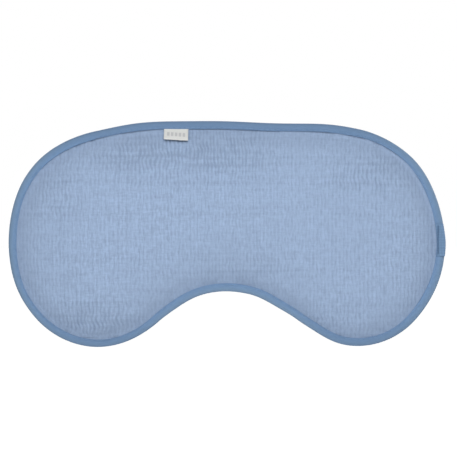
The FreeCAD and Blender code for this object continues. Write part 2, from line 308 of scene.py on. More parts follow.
def insets(x, z):
    """How far each point lies inside the rim, and the rim's outward normal there."""
    depth, normal = np.empty(len(x)), np.empty((len(x), 2))
    for n, (a, b) in enumerate(zip(x, z)):
        _, i, _ = RIM_TREE.find((a, b, 0))
        normal[n] = RIM_NORMALS[i]
        depth[n] = (RIM_POINTS[i] - (a, b)) @ RIM_NORMALS[i]
    return depth, normal


def rim_reach(z):
    """How far out the rim lies on the right at height z, near the strap."""
    right = RIM_POINTS[(RIM_POINTS[:, 0] > 0) & (np.abs(RIM_POINTS[:, 1]) < 2 * STRAP_HALF)]
    right = right[np.argsort(right[:, 1])]
    return np.interp(z, right[:, 1], right[:, 0])


# ---------- the tape's section
STITCH_INSET = 3.15  # the seam lies this far inside the rim
FOLD_REACH = 2.3  # depth of the tape's round edge


def tape_section():
    """The tape's section as (inset, y) points, from its front inner edge round the rim to the back one."""
    middle = (RIM_FRONT + RIM_BACK) / 2
    half = (RIM_BACK - RIM_FRONT) / 2
    front_leg = [
        (TAPE_WIDTH - 0.15, COVER_FRONT + 0.1),
        (TAPE_WIDTH + 0.05, COVER_FRONT - 0.1),
        (TAPE_WIDTH + 0.02, RIM_FRONT + 0.22),
        (TAPE_WIDTH - 0.15, RIM_FRONT + 0.06),
        (TAPE_WIDTH - 0.45, RIM_FRONT + 0.03),
        (STITCH_INSET, RIM_FRONT + 0.10),
        (STITCH_INSET - 0.35, RIM_FRONT + 0.03),
        (2.45, RIM_FRONT),
    ]
    turn = [math.radians(a) for a in range(-90, 91, 15)]
    round_edge = [(FOLD_REACH - FOLD_REACH * math.cos(a), middle + half * math.sin(a)) for a in turn]
    back_leg = [(inset, 2 * middle - y) for inset, y in reversed(front_leg)]
    return np.array(front_leg + round_edge + back_leg)


TAPE_SECTION = tape_section()
TAPE_RUNS = run_lengths(TAPE_SECTION)
TAPE_GIRTH = TAPE_RUNS[-1]


# ---------- materials
def srgb(r, g, b):
    """A linear colour from 8-bit screen values."""
    return tuple(((v / 255 + 0.055) / 1.055) ** 2.4 if v > 10 else v / 255 / 12.92 for v in (r, g, b))


class Nodes:
    """A material's node tree with short calls."""

    def __init__(self, name, roughness, sheen=0.0, sheen_tint=(1, 1, 1), specular=0.3):
        self.material = bpy.data.materials.new(name)
        self.material.use_nodes = True
        self.tree = self.material.node_tree
        self.shader = self.tree.nodes["Principled BSDF"]
        finish = {"Roughness": roughness, "Specular IOR Level": specular, "Sheen Weight": sheen,
                  "Sheen Roughness": 0.5, "Sheen Tint": (*sheen_tint, 1)}
        for key, value in finish.items():
            self.shader.inputs[key].default_value = value

    def add(self, kind, **settings):
        node = self.tree.nodes.new(kind)
        for key, value in settings.items():
            if key in node.inputs:
                node.inputs[key].default_value = value
            else:
                setattr(node, key, value)
        return node

    def link(self, source, target):
        self.tree.links.new(source, target)

    def coordinates(self, output, scale=(1, 1, 1), turn=(0, 0, 0)):
        place = self.add("ShaderNodeTexCoord")
        mapping = self.add("ShaderNodeMapping")
        mapping.inputs["Scale"].default_value = scale
        mapping.inputs["Rotation"].default_value = turn
        self.link(place.outputs[output], mapping.inputs["Vector"])
        return mapping.outputs["Vector"]

    def split(self, output, axis):
        """One axis of the object's or UV coordinates."""
        parts = self.add("ShaderNodeSeparateXYZ")
        self.link(self.coordinates(output), parts.inputs[0])
        return parts.outputs[axis]

    def noise(self, vector, scale, detail=3.0, roughness=0.55):
        node = self.add("ShaderNodeTexNoise", Scale=scale, Detail=detail, Roughness=roughness)
        self.link(vector, node.inputs["Vector"])
        return node.outputs["Fac"]

    def wave(self, vector, scale, direction="X", distortion=0.0, detail_scale=1.0):
        node = self.add("ShaderNodeTexWave", wave_type="BANDS", bands_direction=direction,
                        Scale=scale, Distortion=distortion, Detail=1.0)
        node.inputs["Detail Scale"].default_value = detail_scale
        self.link(vector, node.inputs["Vector"])
        return node.outputs["Fac"]

    def attribute(self, name):
        return self.add("ShaderNodeAttribute", attribute_name=name).outputs["Fac"]

    def math(self, operation, a, b=0.0):
        node = self.add("ShaderNodeMath", operation=operation)
        for socket, value in zip(node.inputs, (a, b)):
            if isinstance(value, (int, float)):
                socket.default_value = value
            else:
                self.link(value, socket)
        return node.outputs[0]

    def remap(self, value, low, high, to_low=0.0, to_high=1.0):
        """Carries low to high over to to_low to to_high, and holds it there outside them."""
        node = self.add("ShaderNodeMapRange")
        for name, number in zip(("From Min", "From Max", "To Min", "To Max"), (low, high, to_low, to_high)):
            node.inputs[name].default_value = number
        self.link(value, node.inputs["Value"])
        return node.outputs["Result"]

    def mix(self, factor, a, b):
        """Mixes two colours, each a tuple or a socket."""
        node = self.add("ShaderNodeMix", data_type="RGBA")
        self.link(factor, node.inputs[0])
        for socket, value in ((node.inputs[6], a), (node.inputs[7], b)):
            if isinstance(value, tuple):
                socket.default_value = (*value, 1)
            else:
                self.link(value, socket)
        return node.outputs[2]

    def colour(self, socket):
        self.link(socket, self.shader.inputs["Base Color"])

    def rough(self, socket):
        self.link(socket, self.shader.inputs["Roughness"])

    def bump(self, heights):
        """Chains bumps: each is (height socket, strength, distance in metres)."""
        normal = None
        for height, strength, distance in heights:
            node = self.add("ShaderNodeBump", Strength=strength, Distance=distance)
            self.link(height, node.inputs["Height"])
            if normal is not None:
                self.link(normal, node.inputs["Normal"])
            normal = node.outputs["Normal"]
        self.link(normal, self.shader.inputs["Normal"])
        return self.material


def tinted(colour, factor):
    return tuple(min(1, c * factor) for c in colour)


def gauze_material(name, colour):
    """Crinkled double gauze: an open plain weave, with painted shade in its creases and painted shade along
    the binding.
    """
    m = Nodes(name, 0.92, sheen=0.1, sheen_tint=tinted(colour, 1.5), specular=0.15)
    streaks = m.noise(m.coordinates("Object", (1500, 1500, 300)), 1.0, detail=2.0)
    slubs = m.noise(m.coordinates("Object", (380, 380, 1500)), 1.0, detail=2.0)
    cloudy = m.noise(m.coordinates("Object", (26, 26, 22)), 1.0, detail=3.0)
    warp = m.wave(m.coordinates("Object"), 640, "X", 1.2, 3.0)
    weft = m.wave(m.coordinates("Object"), 600, "Z", 1.2, 3.0)
    weave = m.math("MULTIPLY", warp, weft)
    thread = m.math("ADD", m.math("MULTIPLY", streaks, 0.6), m.math("MULTIPLY", slubs, 0.4))
    body = m.mix(m.remap(thread, 0.36, 0.64), tinted(colour, 0.85), tinted(colour, 1.14))
    body = m.mix(m.remap(cloudy, 0.35, 0.65, 0.0, 0.4), body, tinted(colour, 0.94))
    body = m.mix(m.remap(weave, 0.0, 1.0, 0.12, 0.0), body, tinted(colour, 0.7))
    # painted shade: the crinkles' valleys are darkened in the colour, where shade falls between them
    body = m.mix(m.remap(m.attribute("valley"), 0.0, 1.0, 0.0, 0.47), body, tinted(colour, 0.56))
    # painted shade: the cloth darkened towards the binding, where the pad's edge turns away from the light
    body = m.mix(m.remap(m.attribute("rim_shade"), 0.0, 1.0, 0.0, 0.45), body, tinted(colour, 0.66))
    m.colour(body)
    m.rough(m.remap(thread, 0.35, 0.65, 0.96, 0.84))
    return m.bump([(weave, 0.3, 0.00012), (thread, 0.5, 0.0003)])


def tape_material(name, colour, fold_at):
    """Bias tape: a fine plain weave at 45 degrees to the rim.

    Painted shade makes it greyer along its rounded fold, which lies fold_at across it, and darker towards the
    mask's top and lobes.
    """
    m = Nodes(name, 0.85, sheen=0.08, sheen_tint=tinted(colour, 1.5), specular=0.2)
    along = m.coordinates("UV", (1, 1, 1), (0, 0, math.radians(45)))
    threads = m.math("MULTIPLY", m.wave(along, 4.2, "X", 0.6, 2.0), m.wave(along, 4.2, "Y", 0.6, 2.0))
    uneven = m.noise(m.coordinates("UV", (0.35, 1.1, 1)), 1.0, detail=4.0)
    body = m.mix(m.remap(uneven, 0.35, 0.65), tinted(colour, 0.92), tinted(colour, 1.07))
    body = m.mix(m.remap(threads, 0.0, 1.0, 0.22, 0.0), body, tinted(colour, 0.66))
    # painted shade: greyer along the tape's round edge, where it turns away from the light
    from_fold = m.math("ABSOLUTE", m.math("SUBTRACT", m.split("UV", 1), fold_at))
    fold_shade = (colour[0] * 1.02, colour[1] * 0.92, colour[2] * 0.8)
    body = m.mix(m.remap(from_fold, 1.0, 4.2, 0.9, 0.0), body, fold_shade)
    # painted shade: darker towards the top and the lobes, where the rolled tape faces away from the light
    from_middle = m.math("ABSOLUTE", m.split("Object", 2))
    body = m.mix(m.remap(from_middle, 0.036, 0.054, 0.0, 0.6), body, tinted(colour, 0.72))
    m.colour(body)
    m.rough(m.remap(uneven, 0.35, 0.65, 0.9, 0.78))
    return m.bump([(threads, 0.35, 0.0001), (uneven, 0.3, 0.0004)])


def elastic_material(name, colour):
    """Woven elastic: ribs along it, crossed by close rows of covering thread."""
    m = Nodes(name, 0.7, sheen=0.1, sheen_tint=tinted(colour, 1.5), specular=0.3)
    rows = m.wave(m.coordinates("UV"), 0.42, "X", 0.5, 2.0)
    ribs = m.wave(m.coordinates("UV"), 0.245, "Y", 0.15, 1.0)
    knit = m.math("MULTIPLY", rows, m.remap(ribs, 0.0, 1.0, 0.35, 1.0))
    uneven = m.noise(m.coordinates("UV", (0.12, 0.4, 1)), 1.0, detail=4.0)
    body = m.mix(m.remap(knit, 0.1, 0.8), tinted(colour, 0.78), tinted(colour, 1.06))
    body = m.mix(m.remap(uneven, 0.35, 0.65, 0.0, 0.4), body, tinted(colour, 0.9))
    m.colour(body)
    m.rough(m.remap(knit, 0.0, 1.0, 0.8, 0.6))
    return m.bump([(knit, 0.6, 0.00022)])


def thread_material(name, colour):
    """Spun polyester thread: a fine twist and a little gloss."""
    m = Nodes(name, 0.5, sheen=0.1, specular=0.4)
    twist = m.wave(m.coordinates("Object", (1, 1, 1), (0.6, 0.5, 0.7)), 900, "X", 1.0, 2.0)
    m.colour(m.mix(twist, tinted(colour, 0.8), tinted(colour, 1.1)))
    m.rough(m.remap(twist, 0, 1, 0.6, 0.42))
    return m.bump([(twist, 0.4, 0.00008)])


BLOCK_PITCH, BLOCK_WIDTH, BLOCK_HEIGHT = 1.9, 1.2, 2.0
BLOCKS_DOWN = 2.9  # middle of the row of blocks below the binding


def label_material(name, colour, mark):
    """Satin label: close shiny wefts, and a row of five plain blocks in place of any wording."""
    m = Nodes(name, 0.55, sheen=0.15, specular=0.35)
    across, along = m.split("UV", 0), m.split("UV", 1)
    wefts = m.wave(m.coordinates("UV"), 2.6, "Y", 0.3, 1.0)
    in_column = m.math("LESS_THAN", m.math("PINGPONG", across, BLOCK_PITCH / 2), BLOCK_WIDTH / 2)
    inside = m.math("LESS_THAN", m.math("ABSOLUTE", across), 2.5 * BLOCK_PITCH)
    from_row = m.math("ABSOLUTE", m.math("SUBTRACT", along, BLOCKS_DOWN))
    in_row = m.math("LESS_THAN", from_row, BLOCK_HEIGHT / 2)
    block = m.math("MULTIPLY", m.math("MULTIPLY", in_column, inside), in_row)
    soft = m.math("MULTIPLY", block, m.remap(wefts, 0, 1, 0.35, 0.7))
    cloth = m.mix(m.remap(wefts, 0, 1), tinted(colour, 0.92), tinted(colour, 1.04))
    m.colour(m.mix(soft, cloth, mark))
    m.rough(m.remap(wefts, 0, 1, 0.62, 0.45))
    return m.bump([(wefts, 0.35, 0.00006)])


def moulded_material(name, colour):
    """Moulded nylon: a fine spark-eroded grain and faint flow marks."""
    m = Nodes(name, 0.42, specular=0.45)
    grain = m.noise(m.coordinates("Object", (3000, 3000, 3000)), 1.0, detail=2.0)
    flow = m.noise(m.coordinates("Object", (160, 160, 60)), 1.0, detail=3.0)
    m.colour(m.mix(m.remap(flow, 0.35, 0.65), tinted(colour, 0.93), tinted(colour, 1.06)))
    m.rough(m.remap(grain, 0.3, 0.7, 0.36, 0.52))
    return m.bump([(grain, 0.25, 0.00005)])


FLOOR_GLOW = 0.86


def floor_material():
    """Pale board that looks like a lit white sweep and bounces light as plain board does."""
    m = Nodes("pale_floor", 0.7, specular=0.2)
    mottle = m.noise(m.coordinates("Object", (6, 6, 6)), 1.0, detail=2.0)
    m.colour(m.mix(mottle, (0.86, 0.86, 0.86), (0.9, 0.9, 0.9)))
    m.rough(m.remap(mottle, 0, 1, 0.65, 0.75))
    path = m.add("ShaderNodeLightPath")
    m.shader.inputs["Emission Color"].default_value = (1, 1, 1, 1)
    glow = m.math("MULTIPLY", path.outputs["Is Camera Ray"], FLOOR_GLOW)
    m.link(glow, m.shader.inputs["Emission Strength"])
    return m.material


GAUZE_BLUE = srgb(150, 170, 199)
TAPE_BLUE = srgb(111, 141, 178)
ELASTIC_BLUE = srgb(108, 138, 172)
THREAD_BLUE = srgb(104, 134, 168)
TACK_BLUE = srgb(82, 112, 146)
LABEL_WHITE = srgb(202, 203, 201)
BLOCK_GREY = srgb(150, 152, 158)

gauze = gauze_material("double_gauze", GAUZE_BLUE)
tape = tape_material("bias_tape", TAPE_BLUE, TAPE_GIRTH / 2)
elastic = elastic_material("woven_elastic", ELASTIC_BLUE)
thread = thread_material("sewing_thread", THREAD_BLUE)
tack_thread = thread_material("tack_thread", TACK_BLUE)
label_cloth = label_material("label_satin", LABEL_WHITE, BLOCK_GREY)
moulded = moulded_material("moulded_nylon", THREAD_BLUE)


# ---------- the pad's covers
COLUMN, ROW = 1.2, 2.5  # spacing of the simulated cloth
EDGE_STEP = 1.7  # and along its sewn edge
FORM_DROP = 0.5  # the cloth falls this far onto its form
SIM_SCALE = 10.0  # cloth settings behave at this many times the real size
SIM_FRAMES = 24
CLOTH_GAP = 0.002  # between cloth and form, in simulated metres
CUT_LARGE = 0.022  # share by which the cloth is cut large
MOST_SHIFT = 1.6  # how far the simulation may move the cloth
SEAM_END = TAPE_WIDTH + 0.9  # the seam holds the cloth up to this depth
CRINKLES_START, CRINKLES_FULL = TAPE_WIDTH - 0.4, TAPE_WIDTH + 2.2
NEAR_SHADE_END, FAR_SHADE_END = TAPE_WIDTH + 10, TAPE_WIDTH + 30  # how far in from the binding painted shade darkens the cloth, in a close band and a broad fall-off


def puff_height(depth):
    """How far the pad has risen out of the binding, from 0 to 1, at a depth inside the rim."""
    steep = np.clip((depth - TAPE_WIDTH) / STEEP_REACH, 0, 1)
    gentle = np.clip((depth - TAPE_WIDTH) / GENTLE_REACH, 0, 1)
    return (1 - GENTLE_SHARE) * np.sin(steep * math.pi / 2) + GENTLE_SHARE * (1 - (1 - gentle)**2)


def cover_grid():
    """Upright rectangles over the pad, with triangles along its edge: (x, z) points and faces."""
    rim, normals, _ = outline(EDGE_STEP)
    edge = rim - normals * TUCK
    columns = np.arange(-HALF_WIDTH, HALF_WIDTH, COLUMN)
    rows = np.arange(BOTTOM, TOP, ROW)
    inner = np.array([(x, z) for x in columns for z in rows])
    depth, _ = insets(inner[:, 0], inner[:, 1])
    inner = inner[depth > TUCK + 0.5 * COLUMN]
    places = np.vstack([edge, inner])
    loop = list(range(len(edge)))
    found = geometry.delaunay_2d_cdt([Vector(p) for p in places.tolist()], [], [loop], 1, 1e-4)
    mesh = bmesh.new()
    corners = [mesh.verts.new((x, 0, z)) for x, z in found[0]]
    for face in found[2]:
        mesh.faces.new([corners[i] for i in face])
    bmesh.ops.join_triangles(mesh, faces=mesh.faces[:], angle_face_threshold=0.1,
                             angle_shape_threshold=math.radians(20))
    mesh.verts.index_update()
    points = np.array([v.co[:] for v in mesh.verts])[:, [0, 2]]
    faces = [[v.index for v in face.verts] for face in mesh.faces]
    mesh.free()
    return points, faces


def simulate(piece, form, pinned, gravity):
    """Lets the cloth settle on its form, and returns its points."""
    scene = bpy.context.scene
    group = piece.vertex_groups.new(name="sewn")
    for i, weight in enumerate(pinned):
        if weight > 0:
            group.add([i], float(weight), "REPLACE")
    form.modifiers.new("form", "COLLISION")
    form.collision.thickness_outer = CLOTH_GAP
    form.collision.cloth_friction = 8
    cloth = piece.modifiers.new("cloth", "CLOTH")
    fabric = {"quality": 6, "mass": 0.3, "tension_stiffness": 15, "compression_stiffness": 15,
              "shear_stiffness": 5, "bending_stiffness": 0.4, "air_damping": 1.5,
              "shrink_min": -CUT_LARGE, "vertex_group_mass": "sewn"}
    for key, value in fabric.items():
        setattr(cloth.settings, key, value)
    cloth.collision_settings.collision_quality = 2
    cloth.collision_settings.distance_min = CLOTH_GAP
    cloth.point_cache.frame_start = 1
    cloth.point_cache.frame_end = SIM_FRAMES
    old_gravity = scene.gravity.copy()
    scene.gravity = gravity
    for number in range(1, SIM_FRAMES + 1):
        scene.frame_set(number)
    settled = piece.evaluated_get(bpy.context.evaluated_depsgraph_get())
    points = read_points(settled.data)
    scene.frame_set(1)
    scene.gravity = old_gravity
    piece.modifiers.clear()
    piece.vertex_groups.clear()
    return points


# patches where the sewing has gathered the cover: (x, z, reach along x, reach along z, strength)
GATHERS = [
    (-64, -42, 20, 10, 1.05),
    (-8, 42, 26, 11, 0.9),
    (-45, 42, 18, 9, 0.65),
    (70, 33, 16, 9, 0.6),
    (52, -38, 12, 9, 0.4),
    (-84, 24, 9, 14, 0.3),
    (8, -16, 22, 6, 0.3),
]
CRINKLE_PITCH, FURROW_DEPTH = 1.85, 0.32
ROW_PITCH, ROW_DEPTH = 3.1, 0.15
CRINKLE_TOP = 0.16
KINDS = 97  # furrows and rows repeat their own strengths after this many
DEEPEST = 1.7  # the valleys' depth is cut off here


def crinkle_height(x, z, seed):
    """Height of the crinkles, and how deep in a valley each point lies, from 0 to DEEPEST."""
    gathered = np.zeros(len(x))
    for at_x, at_z, reach_x, reach_z, strength in GATHERS:
        gathered += strength * np.exp(-((x - at_x) / reach_x)**2 - ((z - at_z) / reach_z)**2)
    drift = (0.16 + 0.34 * gathered) * noise_at(x, z, seed, 6, 2.6)
    drift += 0.12 * noise_at(x, z, seed + 1, 3.5, 1.3)
    spread = 1.5 * noise_at(x, z, seed + 2, 30, 60)
    columns = (x + drift + spread) / CRINKLE_PITCH
    furrow = 1 - np.abs(np.sin(math.pi * columns)) ** 0.7
    furrow_kinds = np.random.default_rng(seed + 3).uniform(0, 1, (KINDS, 3))
    own_length, own_start, own_strength = furrow_kinds[np.round(columns).astype(int) % KINDS].T
    turns = z / (5.6 + 4.6 * own_length) + own_start
    dash = np.sin(2 * math.pi * turns + noise_at(x, z, seed + 4, 9, 5))
    dash = (0.4 + 0.5 * smoothstep(dash, -1.1, 0.6)) * (0.65 + 0.35 * own_strength)
    level = z + 0.5 * noise_at(x, z, seed + 5, 14, 9)
    level += 0.15 * noise_at(x, z, seed + 6, 2.2, 3)
    rows = level / ROW_PITCH
    tacked = 1 - np.abs(np.sin(math.pi * rows)) ** 0.5
    row_kinds = np.random.default_rng(seed + 7).uniform(0.2, 1, KINDS)
    row_strength = row_kinds[np.round(rows).astype(int) % KINDS]
    across = row_strength * (0.75 + 0.15 * noise_at(x, z, seed + 7, 11, 2.6)) * (0.36 + 1.9 * gathered)
    crease = noise_at(x, z, seed + 8, 10, 0.9)
    swell = noise_at(x, z, seed + 9, 24, 18)
    lift = 0.98 + 2.1 * gathered
    height = CRINKLE_TOP - FURROW_DEPTH * lift * dash * furrow - ROW_DEPTH * across * tacked
    height += (0.012 + 0.05 * gathered) * crease + 0.04 * swell
    valley = lift * dash * furrow * (0.8 + 1.1 * row_strength * tacked) + 0.7 * across * tacked
    valley += 0.08 - 0.1 * (0.4 + 1.8 * gathered) * crease
    return height, np.clip(valley, 0, DEEPEST)


def make_cover(name, base, crown, seed):
    """One cover of the pad, cut large, settled on the wadding and sewn in at the rim."""
    away = 1 if crown > base else -1
    places, faces = cover_grid()
    depth, _ = insets(places[:, 0], places[:, 1])
    height = base + (crown - base) * puff_height(depth)
    points = np.c_[places[:, 0], height, places[:, 1]]
    if away < 0:
        faces = [f[::-1] for f in faces]
    piece = make_piece(name, points * SIM_SCALE, faces, gauze)
    form_points = points - [0, away * FORM_DROP, 0]
    form = make_piece("form", form_points * SIM_SCALE, faces, None)
    pinned = smoothstep(depth, SEAM_END, TAPE_WIDTH - 0.1)
    settled = simulate(piece, form, pinned, (0, -away * 9.81, 0))
    bpy.data.objects.remove(form)
    shift = settled / MM / SIM_SCALE - points
    length = np.linalg.norm(shift, axis=1)[:, None]
    shift *= np.minimum(1, MOST_SHIFT / np.maximum(length, 1e-9))
    points = points + shift
    write_points(piece.data, wander(points) * MM)
    piece.modifiers.new("smooth", "SUBSURF").levels = 2
    fine = bpy.data.meshes.new_from_object(piece.evaluated_get(bpy.context.evaluated_depsgraph_get()))
    piece.modifiers.clear()
    piece.data = fine
    fine.name = name
    points = read_points(fine) / MM
    depth, _ = insets(points[:, 0], points[:, 2])
    crinkled = smoothstep(depth, CRINKLES_START, CRINKLES_FULL)
    height, valley = crinkle_height(points[:, 0], points[:, 2], seed)
    points[:, 1] += away * crinkled * height
    write_points(fine, points * MM)
    # the valley depth is kept for the painted shade in the creases
    store(fine, "valley", valley * crinkled)
    # painted shade along the binding: a close band (pressed) and a broad fall-off inward
    pressed = 0.75 * smoothstep(depth, NEAR_SHADE_END, TAPE_WIDTH - 1)
    store(fine, "rim_shade", pressed + 0.4 * smoothstep(depth, FAR_SHADE_END, TAPE_WIDTH))
    fine.polygons.foreach_set("use_smooth", [True] * len(fine.polygons))
    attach(piece, "mask")
    return piece


front = make_cover("front_gauze", COVER_FRONT, CROWN_FRONT, 20)
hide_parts("front_cover", "blackout_lining")
back = make_cover("back_gauze", COVER_BACK, CROWN_BACK, 60)
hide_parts("back_cover", "wadding")


# ---------- binding and its stitches
JOIN_X = 13.0  # where the tape's ends overlap, in the nose notch
JOIN_RISE, JOIN_EDGE, JOIN_FADE = 0.28, 0.5, (3.0, 14.0)  # the upper end steps up and sinks away
TAPE_STEP = 0.55
WAVE_HEIGHT, SLOW_HEIGHT, EDGE_SWAY = 0.06, 0.05, 0.14  # how uneven the tape is
DIMPLE, DIMPLE_REACH = 0.04, 0.6  # what each stitch presses in
STITCH_PITCH = 2.6
STITCH_SHARES = (0.07, 0.86)  # where a stitch starts and ends in its pitch
STITCH_RADIUS = 0.17
STITCH_SUNK = 0.08  # the thread's middle lies this far below the tape's face


def make_binding():
    """The tape swept round the rim, a little uneven, dimpled by its stitches and overlapped at its join."""
    rim, normals, run = outline(TAPE_STEP)
    rings, around = len(rim), len(TAPE_SECTION)
    middle = (RIM_FRONT + RIM_BACK) / 2
    waves = noise_at(run, np.zeros(rings), 5, 4.0, 1.0)
    slow = noise_at(run, np.zeros(rings), 9, 17.0, 1.0)
    join = run[np.argmin(np.hypot(rim[:, 0] - JOIN_X, rim[:, 1] - (BOTTOM + NOTCH_HEIGHT)))]
    points, uvs = [], []
    for i, along in enumerate(run):
        for (inset, y), girth in zip(TAPE_SECTION, TAPE_RUNS):
            lift = WAVE_HEIGHT * waves[i] + SLOW_HEIGHT * slow[i]
            diagonal = along - join + (inset - 2)
            fade = 1 - smoothstep(diagonal, *JOIN_FADE)
            overlap = JOIN_RISE * smoothstep(diagonal, 0.0, JOIN_EDGE) * fade
            stitch = DIMPLE * math.cos(2 * math.pi * along / STITCH_PITCH)
            grip = math.exp(-((inset - STITCH_INSET) / DIMPLE_REACH) ** 2)
            out = (lift + overlap + stitch * grip) * (1 if inset < TAPE_WIDTH - 0.1 else 0.3)
            edge = EDGE_SWAY * slow[i] * smoothstep(inset, 2.0, TAPE_WIDTH)
            depth = inset + edge - 0.25 * overlap * (1 - smoothstep(inset, 0.0, 2.0))
            place = rim[i] - normals[i] * depth
            points.append((place[0], y + out * (1 if y > middle else -1), place[1]))
            uvs.append((along, girth))
    piece = make_piece("binding_tape", wander(points), tube_faces(rings, around, closed=True), tape, uvs)
    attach(piece, "mask")
    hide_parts("edge_binding")


def capsule(start, end, normal, radius, sides=8):
    """A short rounded bar from start to end: (points, faces)."""
    line = end - start
    length = np.linalg.norm(line)
    ahead = line / length
    side = np.cross(ahead, normal)
    side /= np.linalg.norm(side)
    up = np.cross(side, ahead)
    stations = [(0.0, 0.35), (0.12, 0.8), (0.35, 1.0), (0.65, 1.0), (0.88, 0.8), (1.0, 0.35)]
    turns = [2 * math.pi * k / sides for k in range(sides)]
    points = []
    for share, width in stations:
        centre = start + line * share
        points += [centre + radius * width * (side * math.cos(t) + up * math.sin(t)) for t in turns]
    return points, capped_tube_faces(len(stations), sides)


def join_meshes(parts):
    """One list of points and one of faces from several."""
    points, faces = [], []
    for more_points, more_faces in parts:
        faces += [tuple(i + len(points) for i in f) for f in more_faces]
        points += list(more_points)
    return np.array(points), faces


def make_stitches(name, node, y, away):
    """Lockstitch all round, each stitch a short thread that thins at its ends."""
    rim, normals, run = outline(0.25)
    total = run[-1] + np.linalg.norm(rim[0] - rim[-1])
    count = round(total / STITCH_PITCH)
    stitches = []
    for k in range(count):
        ends = []
        for share in STITCH_SHARES:
            i = np.searchsorted(run, (k + share) * total / count) % len(rim)
            place = rim[i] - normals[i] * STITCH_INSET
            ends.append(np.array([place[0], y, place[1]]))
        ends = wander(ends)
        stitches.append(capsule(ends[0], ends[1], np.array([0, away, 0.0]), STITCH_RADIUS))
    points, faces = join_meshes(stitches)
    piece = make_piece(name, points, faces, thread)
    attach(piece, "mask")
    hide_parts(node)


make_binding()
make_stitches("stitches_front", "binding_stitch_front", RIM_FRONT + STITCH_SUNK, -1)
make_stitches("stitches_back", "binding_stitch_back", RIM_BACK - STITCH_SUNK, 1)


# ---------- the label
LABEL_HALF = (label_high[0] - label_low[0]) / 2
LABEL_X = (label_high[0] + label_low[0]) / 2
LABEL_TUCK = 2.2  # hidden length under the binding
LABEL_CLOTH = 0.16
LABEL_GAP = 0.24  # between the middles of its two layers
LABEL_FOLD = 0.3  # height of the turn at its fold
LABEL_CURL, LABEL_WAVE = 0.16, 0.07  # how far its corners curl and its face ripples
LABEL_COLUMNS, LABEL_ROWS = 25, 12
LABEL_SWAY = math.radians(-1.3)


def make_label():
    """A satin strip folded in two, its ends caught under the binding."""
    top = HINGE[2] + LABEL_TUCK
    low = label_low[2]
    front_y, low_y = RIM_FRONT + 0.3, label_low[1] + 0.1
    drop = HINGE[2] - low
    route = []
    for k in range(LABEL_ROWS + 1):
        z = top + (low + LABEL_FOLD - top) * (k / LABEL_ROWS)
        bulge = smoothstep(top - z, LABEL_TUCK - 0.3, LABEL_TUCK + drop)
        route.append((front_y + (low_y - front_y) * bulge, z))
    route = np.array(route)
    half_gap = LABEL_GAP / 2
    fold = [math.radians(a) for a in range(20, 180, 20)]
    turn = [(low_y + half_gap - half_gap * math.cos(a), low + LABEL_FOLD - LABEL_FOLD * math.sin(a))
            for a in fold]
    behind = [(y + LABEL_GAP, z) for y, z in route[::-1]]
    route = np.vstack([route, turn, behind])
    along, normal = run_lengths(route), route_normals(route)
    columns = np.linspace(-LABEL_HALF, LABEL_HALF, LABEL_COLUMNS)
    points, uvs = [], []
    for side in (1, -1):
        for i, (y, z) in enumerate(route):
            for x in columns:
                curl = LABEL_CURL * (abs(x) / LABEL_HALF) ** 3 * smoothstep(HINGE[2] - z, 0.5, drop)
                wave = LABEL_WAVE * math.sin(x * 0.9 + 0.6) * smoothstep(HINGE[2] - z, 0.5, drop)
                off = normal[i] * side * LABEL_CLOTH / 2
                points.append((x, y + off[0] - curl + wave, z + off[1]))
                uvs.append((x, along[i] - LABEL_TUCK))
    wide, long = len(columns), len(route)
    faces = []
    for i in range(long - 1):
        for j in range(wide - 1):
            a = i * wide + j
            quad = (a, a + 1, a + wide + 1, a + wide)
            faces.append(quad)
            faces.append(tuple(v + wide * long for v in quad[::-1]))
    border = list(range(wide))
    border += [i * wide + wide - 1 for i in range(1, long)]
    border += [(long - 1) * wide + j for j in range(wide - 2, -1, -1)]
    border += [i * wide for i in range(long - 2, 0, -1)]
    for a, b in zip(border, border[1:] + border[:1]):
        faces.append((b, a, a + wide * long, b + wide * long))
    points = np.array(points)
    x, z = points[:, 0].copy(), points[:, 2] - HINGE[2]
    points[:, 0] = LABEL_X + x * math.cos(LABEL_SWAY) - z * math.sin(LABEL_SWAY)
    points[:, 2] = HINGE[2] + x * math.sin(LABEL_SWAY) + z * math.cos(LABEL_SWAY)
    piece = make_piece("label_strip", wander(points), faces, label_cloth, uvs)
    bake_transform(piece)
    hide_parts("woven_label")


make_label()


# ---------- elastic
def rounded_route(corners, step):
    """A flat route of straight runs and arcs. corners holds (x, y, radius) in the order passed."""
    corners = [np.array(c, float) for c in corners]
    route = [corners[0][:2]]
    for before, here, after in zip(corners, corners[1:], corners[2:]):
        arrive = before[:2] - here[:2]
        leave = after[:2] - here[:2]
        arrive /= np.linalg.norm(arrive)
        leave /= np.linalg.norm(leave)
        half = math.acos(np.clip(arrive @ leave, -1, 1)) / 2
        reach = here[2] / math.tan(half)
        centre = here[:2] + (arrive + leave) / np.linalg.norm(arrive + leave) * here[2] / math.sin(half)
        first, last = here[:2] + arrive * reach - centre, here[:2] + leave * reach - centre
        turn = math.pi - 2 * half
        way = np.sign(first[0] * last[1] - first[1] * last[0])
        count = max(4, math.ceil(turn * here[2] / step))
        for k in range(count + 1):
            a = way * turn * k / count
            spun_x = first[0] * math.cos(a) - first[1] * math.sin(a)
            spun_y = first[0] * math.sin(a) + first[1] * math.cos(a)
            route.append(centre + (spun_x, spun_y))
    route.append(corners[-1][:2])
    return fill_runs(np.array(route), step)


def fill_runs(route, step):
    """Adds points along the route's long runs."""
    filled = [route[0]]
    for a, b in zip(route, route[1:]):
        count = max(1, math.ceil(np.linalg.norm(b - a) / step))
        filled += [a + (b - a) * k / count for k in range(1, count + 1)]
    filled = np.array(filled)
    keep = np.r_[True, np.linalg.norm(np.diff(filled, axis=0), axis=1) > 1e-4]
    return filled[keep]


